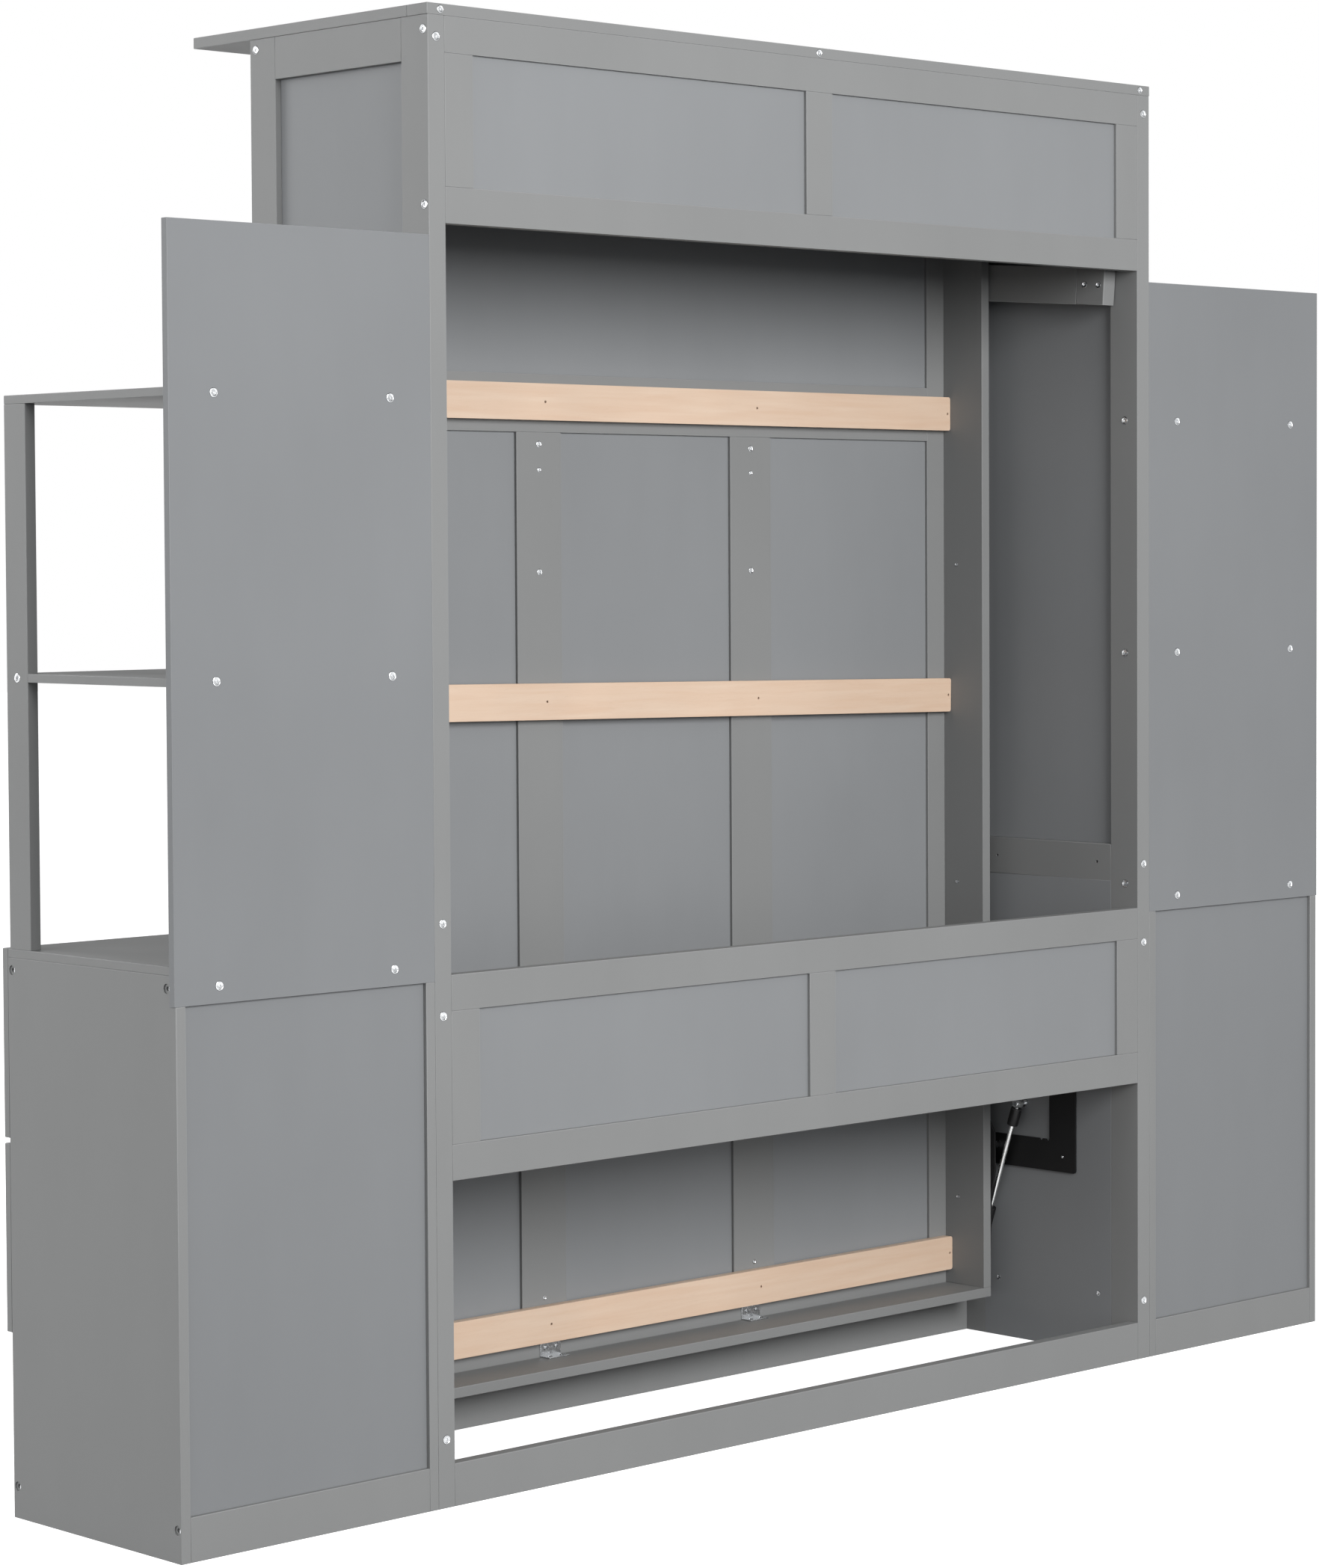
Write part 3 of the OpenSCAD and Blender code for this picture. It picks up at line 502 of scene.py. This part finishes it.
def socket_head(radius, depth, proud, reach, shank, hexagon=0.44):
    """A pressed bolt head round +Z whose top is at z = 0: a rolled rim, a dished face and a six-sided socket.

    radius is the head's, depth its thickness, proud how far its rim stands up; reach and shank are the
    shank's length and radius; hexagon is the socket's corner radius as a share of the head's.
    """
    sides = 36
    rim = radius * 0.16
    tip = -depth - reach
    dish = proud - rim * 1.1
    mouth_height = proud - rim * 1.2
    shaft = [(0.0, tip), (shank * 0.8, tip), (shank, tip + shank * 0.4), (shank, -depth)]
    rolled = [(radius - rim * 0.5, -depth), (radius, -depth + rim * 0.4), (radius, proud - rim),
              (radius - rim * 0.3, proud - rim * 0.25), (radius - rim, proud),
              (radius - rim * 1.7, proud - rim * 0.35), (radius * 0.62, dish)]
    solid = turned(shaft + rolled, sides)
    top = max((f for f in solid.faces if len(f.verts) == sides), key=lambda f: f.calc_center_median().z)
    solid.faces.remove(top)
    ring = sorted((v for v in solid.verts if abs(v.co.z - dish) < TOUCH and len(v.link_faces) < 4),
                  key=lambda v: math.atan2(v.co.y, v.co.x))
    size = radius * hexagon
    mouth, floor = [], []
    for vert in ring:
        angle = math.atan2(vert.co.y, vert.co.x)
        sector = (angle + math.pi / 6) % (math.pi / 3) - math.pi / 6
        reach_out = size * math.cos(math.pi / 6) / math.cos(sector)
        for row, height, share in ((mouth, mouth_height, 1.0), (floor, mouth_height - depth * 0.55, 0.96)):
            out = share * reach_out
            row.append(solid.verts.new((out * math.cos(angle), out * math.sin(angle), height)))
    centre = solid.verts.new((0, 0, mouth_height - depth * 0.7))
    for i in range(len(ring)):
        j = (i + 1) % len(ring)
        solid.faces.new((ring[i], ring[j], mouth[j], mouth[i]))
        solid.faces.new((mouth[i], mouth[j], floor[j], floor[i]))
        solid.faces.new((floor[i], floor[j], centre))
    bmesh.ops.recalc_face_normals(solid, faces=solid.faces)
    return solid


def domed_head(radius, height, reach, shank):
    """A small panhead screw round +Z whose seat is at z = 0: a dome with a round recess."""
    shaft = [(0.0, -reach), (shank, -reach + shank), (shank, 0.0)]
    dome = [(radius * 0.92, 0.0), (radius, height * 0.25), (radius * 0.9, height * 0.7),
            (radius * 0.62, height)]
    recess = [(radius * 0.4, height), (radius * 0.34, height * 0.3), (0.0, height * 0.2)]
    return turned(shaft + dome + recess, 24)


# Thickness of a bolt's head; a fixing shorter than this is a small screw, of which only the head is drawn
HEAD_DEPTH = 2 * MM
# A bolt whose head has a larger radius than the first has a shank of the second radius
LARGE_HEAD = 4.8 * MM
LARGE_SHANK = 3 * MM
# Edges of a head that turn by less than this, in degrees, are shaded as round
HEAD_SMOOTH = 30.0
# A small screw's dome and the stub under it
DOME_HEIGHT = 1.2 * MM
STUB = 1.0 * MM


def make_bolts(node, proud):
    """A socket bolt for every bolt of a CAD node, and a domed head for each of its small screws."""
    solids = []
    for top, way, radius, length in fixings(node):
        if length < HEAD_DEPTH:
            dome = domed_head(radius, DOME_HEIGHT, STUB, radius * 0.4)
            solids.append(stand(dome, top - way * length, way))
            continue
        shank = LARGE_SHANK if radius > LARGE_HEAD else radius * 0.42
        bolt = socket_head(radius, HEAD_DEPTH, proud, length - HEAD_DEPTH, min(shank, radius * 0.6))
        solids.append(stand(bolt, top, way))
    heads = finish_mesh(solids, node + "_heads", material("zinc"), HEAD_SMOOTH)
    return place(heads, BODY_OF[node], [node], SLOT_OF[node])


# ---------------------------------------------------------------------------------------------
# Settings
# ---------------------------------------------------------------------------------------------

class WallBedSizes(bpy.types.PropertyGroup):
    """Sizes that the looks add to the frame."""

    board_ease: FloatProperty(name="Board edge", description="Radius of the boards' sanded edges",
                              default=0.9 * MM, min=0.2 * MM, max=3 * MM, unit="LENGTH", precision=4)
    slat_ease: FloatProperty(name="Slat edge", description="Radius of the slats' edges", default=2.0 * MM,
                             min=0.2 * MM, max=4 * MM, unit="LENGTH", precision=4)
    metal_ease: FloatProperty(name="Sheet edge", description="Radius of the sheet steel's edges",
                              default=0.5 * MM, min=0.1 * MM, max=1 * MM, unit="LENGTH", precision=4)
    head_proud: FloatProperty(name="Bolt head", description="How far a bolt's rim stands proud of its board",
                              default=0.7 * MM, min=0.0, max=2 * MM, unit="LENGTH", precision=4)


class WallBedFinish(bpy.types.PropertyGroup):
    """Colours of the finishes."""

    frame_grey: StringProperty(name="Frame grey", default="#797a7a",
                               description="Lacquer on the stiles, rails and boards")
    panel_grey: StringProperty(name="Panel grey", default="#7a7c7e",
                               description="Lacquer on the thin panels")
    back_grey: StringProperty(name="Back grey", default="#737577",
                              description="Lacquer on the side units' backs")
    beech_pale: StringProperty(name="Beech, pale", default="#cab4a0",
                               description="Beech between its growth rings")
    beech_dark: StringProperty(name="Beech, dark", default="#c3a790",
                               description="Beech on its growth rings")
    backdrop: StringProperty(name="Backdrop", default="#fdfdfd",
                             description="Paper under and behind the bed")


class WallBedStage(bpy.types.PropertyGroup):
    """Camera and lights."""

    camera_place: FloatVectorProperty(name="Camera place", default=(4.4372, 4.6414, 1.3335),
                                      description="Where the camera stands, from the middle of the floor",
                                      subtype="TRANSLATION", unit="LENGTH")
    azimuth: FloatProperty(name="Azimuth", description="Angle round the bed from its front",
                           default=math.radians(135.95), subtype="ANGLE")
    pitch: FloatProperty(name="Pitch", description="How far the camera looks down",
                         default=math.radians(2.32), subtype="ANGLE")
    roll: FloatProperty(name="Roll", description="Tilt of the camera about its view",
                        default=math.radians(-0.28), subtype="ANGLE")
    lens: FloatProperty(name="Focal length", description="Lens for a 36 mm wide sensor",
                        default=94.11, unit="CAMERA")
    shift: FloatVectorProperty(name="Lens shift", default=(-0.0415, -0.0395), size=2, precision=4,
                               description="Shift of the view, as a share of its long side")
    key: FloatProperty(name="Key light", description="Strength of the large soft light behind the bed",
                       default=350.0, unit="POWER")
    fill: FloatProperty(name="Fill light", description="Strength of the soft light on the bed's right side",
                        default=100.0, unit="POWER")
    front: FloatProperty(name="Front light", description="Strength of the soft light before the bed",
                         default=110.0, unit="POWER")
    sky: FloatProperty(name="Room light", default=1.0, min=0.0,
                       description="Strength of the white light from the walls all round")
    ceiling: FloatProperty(name="Ceiling", default=0.45, min=0.0,
                           description="Light from straight above, as a share of the walls' light")
    ground: FloatProperty(name="Ground", default=0.05, min=0.0,
                          description="Light from straight below, as a share of the walls' light")


# ---------------------------------------------------------------------------------------------
# Pieces
# ---------------------------------------------------------------------------------------------

class WALLBED_OT_frame_boards(bpy.types.Operator):
    """Lacquered stiles, rails, shelves and boards, with their edges eased"""

    bl_idname = "wallbed.frame_boards"
    bl_label = "Frame boards"

    def execute(self, context):
        for node in FRAME_NODES:
            eased_node(node, material("lacquered_frame"), context.scene.wall_bed_sizes.board_ease)
        return {"FINISHED"}


class WALLBED_OT_panels(bpy.types.Operator):
    """Thin lacquered panels held between the stiles and rails"""

    bl_idname = "wallbed.panels"
    bl_label = "Panels"

    def execute(self, context):
        ease_by = context.scene.wall_bed_sizes.board_ease * THIN_EASE
        for node in PANEL_NODES:
            eased_node(node, material("lacquered_panel"), ease_by)
        for node in UNIT_BACK_NODES:
            eased_node(node, material("lacquered_back"), ease_by)
        return {"FINISHED"}


class WALLBED_OT_slats(bpy.types.Operator):
    """Planed beech slats that carry the mattress"""

    bl_idname = "wallbed.slats"
    bl_label = "Slats"

    def execute(self, context):
        eased_node("bed_slats", material("beech"), context.scene.wall_bed_sizes.slat_ease, ROUND_STEPS)
        return {"FINISHED"}


class WALLBED_OT_drawers(bpy.types.Operator):
    """Drawer fronts, plywood boxes and the cleats they run on"""

    bl_idname = "wallbed.drawers"
    bl_label = "Drawers"

    def execute(self, context):
        sizes = context.scene.wall_bed_sizes
        for side in SIDES:
            for level in LEVELS:
                eased_node(f"drawer_front_{side}_{level}", material("lacquered_frame"), sizes.board_ease)
                eased_node(f"drawer_box_{side}_{level}", material("birch_ply"), sizes.board_ease * THIN_EASE)
        eased_node("drawer_cleats", material("beech_cleat"), sizes.board_ease * THIN_EASE)
        return {"FINISHED"}


class WALLBED_OT_legs(bpy.types.Operator):
    """Fold-out legs, the blocks at their feet and the blocks' bolts"""

    bl_idname = "wallbed.legs"
    bl_label = "Legs"

    def execute(self, context):
        sizes = context.scene.wall_bed_sizes
        for side in SIDES:
            eased_node(f"leg_{side}", material("lacquered_frame"), sizes.board_ease)
            eased_node(f"leg_foot_{side}", material("lacquered_frame"), sizes.board_ease * BLOCK_EASE)
            make_bolts(f"leg_bolts_{side}", sizes.head_proud)
        return {"FINISHED"}


class WALLBED_OT_fixings(bpy.types.Operator):
    """Zinc-plated bolts, screws and corner brackets"""

    bl_idname = "wallbed.fixings"
    bl_label = "Bolts and screws"

    def execute(self, context):
        sizes = context.scene.wall_bed_sizes
        for node in ("cabinet_bolts", "bed_screws"):
            make_bolts(node, sizes.head_proud)
        eased_node("corner_brackets", material("zinc"), sizes.metal_ease)
        return {"FINISHED"}


class WALLBED_OT_pulls(bpy.types.Operator):
    """Satin nickel bar pulls on the bed's face and the drawers"""

    bl_idname = "wallbed.pulls"
    bl_label = "Pulls"

    def execute(self, context):
        nodes = ["bed_pulls"] + [f"drawer_pull_{side}_{level}" for side in SIDES for level in LEVELS]
        for node in nodes:
            eased_node(node, material("nickel"), PULL_EASE, ROUND_STEPS)
        return {"FINISHED"}


class WALLBED_OT_mechanism(bpy.types.Operator):
    """Black plates on the frames and side rails, with their pivot pins"""

    bl_idname = "wallbed.mechanism"
    bl_label = "Mechanism"

    def execute(self, context):
        ease_by = context.scene.wall_bed_sizes.metal_ease
        for node in ("mechanism_plates", "bed_pivot_plates"):
            eased_node(node, material("powder"), ease_by)
        for node in ("pivot_studs", "leg_pivot_pins"):
            eased_node(node, material("zinc"), ease_by)
        return {"FINISHED"}


class WALLBED_OT_gas_springs(bpy.types.Operator):
    """Gas springs: chromed rod, moulded sleeve and powder-coated cylinder"""

    bl_idname = "wallbed.gas_springs"
    bl_label = "Gas springs"

    def execute(self, context):
        for side in SIDES:
            eased_node(f"spring_rod_{side}", material("chrome"), ROD_EASE)
            eased_node(f"spring_sleeve_{side}", material("nylon"), CYLINDER_EASE, ROUND_STEPS)
            eased_node(f"spring_cylinder_{side}", material("powder"), CYLINDER_EASE, ROUND_STEPS)
        return {"FINISHED"}


# ---------------------------------------------------------------------------------------------
# Stage
# ---------------------------------------------------------------------------------------------

# Half the floor sheet's side, a softbox's sides and the camera's far limit in metres, and its sensor in mm
FLOOR_REACH = 30.0
SOFTBOX_SIZE = (3.0, 2.4)
CLIP_END = 100.0
SENSOR_WIDTH = 36.0


def aim(source, target):
    """The turn that makes an object at source look at target."""
    return (Vector(target) - Vector(source)).to_track_quat("-Z", "Y").to_euler()


def lay_floor(scene):
    """A wide sheet of paper on the floor."""
    sheet = bmesh.new()
    bmesh.ops.create_grid(sheet, x_segments=24, y_segments=24, size=FLOOR_REACH)
    mesh = bpy.data.meshes.new("paper_floor")
    sheet.to_mesh(mesh)
    sheet.free()
    mesh.materials.append(material("paper"))
    floor = bpy.data.objects.new("paper_floor", mesh)
    scene.collection.objects.link(floor)

    # The floor gives the bed no light back, so the undersides stay as dark as over a distant ground
    floor.visible_diffuse = False


def light_room(scene, settings):
    """White light from the walls all round, weaker from the ceiling and weakest from the ground."""
    world = bpy.data.worlds.new("white_room")
    world.use_nodes = True
    tree = world.node_tree
    way = add(tree, "ShaderNodeTexCoord").outputs["Generated"]
    height = add(tree, "ShaderNodeSeparateXYZ", {0: way}).outputs["Z"]
    above = add(tree, "ShaderNodeMapRange", {"Value": height},
                {"From Min": 0.15, "From Max": 0.85, "To Min": settings.sky,
                 "To Max": settings.sky * settings.ceiling}, interpolation_type="SMOOTHSTEP")
    below = add(tree, "ShaderNodeMapRange", {"Value": height},
                {"From Min": -0.2, "From Max": -0.045, "To Min": settings.ground, "To Max": 1.0},
                interpolation_type="SMOOTHSTEP")
    glow = add(tree, "ShaderNodeMath", {0: above.outputs[0], 1: below.outputs[0]}, operation="MULTIPLY")
    background = tree.nodes["Background"]
    tree.links.new(glow.outputs[0], background.inputs["Strength"])
    background.inputs["Color"].default_value = linear("#ffffff")
    scene.world = world
    scene.view_settings.view_transform = "Standard"


def hang_softboxes(scene, settings):
    """Three soft lights, behind the bed, beside it and before it: name, power, place and what it faces."""
    for name, power, spot, target in (
            ("key_softbox", settings.key, (0.8, 5.4, 2.8), (0.0, 0.0, 1.0)),
            ("fill_softbox", settings.fill, (5.5, -0.4, 2.3), (0.8, 0.0, 1.2)),
            ("front_softbox", settings.front, (3.6, -5.0, 3.0), (0.0, 0.0, 1.0))):
        lamp = bpy.data.lights.new(name, "AREA")
        lamp.shape = "RECTANGLE"
        lamp.size, lamp.size_y = SOFTBOX_SIZE
        lamp.energy = power
        softbox = bpy.data.objects.new(name, lamp)
        softbox.location = spot
        softbox.rotation_euler = aim(spot, target)
        scene.collection.objects.link(softbox)


def stand_camera(scene, settings):
    """The camera, turned from its azimuth, pitch and roll."""
    lens = bpy.data.cameras.new("camera")
    lens.sensor_width, lens.lens = SENSOR_WIDTH, settings.lens
    lens.shift_x, lens.shift_y = settings.shift
    lens.clip_end = CLIP_END
    camera = bpy.data.objects.new("camera", lens)
    turn, tilt, roll = settings.azimuth, settings.pitch, settings.roll
    ahead = -Vector((math.sin(turn) * math.cos(tilt), -math.cos(turn) * math.cos(tilt), math.sin(tilt)))
    right = ahead.cross(Vector((0, 0, 1))).normalized()
    up = right.cross(ahead)
    rolled_right = right * math.cos(roll) + up * math.sin(roll)
    rolled_up = up * math.cos(roll) - right * math.sin(roll)
    camera.matrix_world = Matrix.Translation(settings.camera_place) @ Matrix(
        (rolled_right, rolled_up, -ahead)).transposed().to_4x4()
    scene.collection.objects.link(camera)
    scene.camera = camera


class WALLBED_OT_stage(bpy.types.Operator):
    """Paper backdrop, soft lights and the camera"""

    bl_idname = "wallbed.stage"
    bl_label = "Stage"

    def execute(self, context):
        scene = context.scene
        settings = scene.wall_bed_stage
        lay_floor(scene)
        light_room(scene, settings)
        hang_softboxes(scene, settings)
        stand_camera(scene, settings)
        return {"FINISHED"}


class WALLBED_PT_panel(bpy.types.Panel):
    """The wall bed's steps and settings"""

    bl_label = "Wall Bed"
    bl_idname = "WALLBED_PT_panel"
    bl_space_type = "VIEW_3D"
    bl_region_type = "UI"
    bl_category = "Wall Bed"

    def draw(self, context):
        column = self.layout.column()
        scene = context.scene
        for group in (scene.wall_bed_sizes, scene.wall_bed_finish, scene.wall_bed_stage):
            for name in group.bl_rna.properties.keys():
                if name not in ("rna_type", "name"):
                    column.prop(group, name)
        for step in STEPS:
            column.operator(step.bl_idname)


STEPS = (
    WALLBED_OT_frame_boards, WALLBED_OT_panels, WALLBED_OT_slats, WALLBED_OT_drawers, WALLBED_OT_legs,
    WALLBED_OT_mechanism, WALLBED_OT_gas_springs, WALLBED_OT_fixings, WALLBED_OT_pulls, WALLBED_OT_stage,
)
GROUPS = (WallBedSizes, WallBedFinish, WallBedStage)


def register():
    for cls in (*GROUPS, *STEPS, WALLBED_PT_panel):
        bpy.utils.register_class(cls)
    bpy.types.Scene.wall_bed_sizes = PointerProperty(type=WallBedSizes)
    bpy.types.Scene.wall_bed_finish = PointerProperty(type=WallBedFinish)
    bpy.types.Scene.wall_bed_stage = PointerProperty(type=WallBedStage)


def unregister():
    del bpy.types.Scene.wall_bed_stage
    del bpy.types.Scene.wall_bed_finish
    del bpy.types.Scene.wall_bed_sizes
    for cls in reversed((*GROUPS, *STEPS, WALLBED_PT_panel)):
        bpy.utils.unregister_class(cls)


def main():
    """Builds every piece and the stage."""
    register()
    for step in STEPS:
        group, name = step.bl_idname.split(".")
        getattr(getattr(bpy.ops, group), name)()


if __name__ == "__main__":
    main()
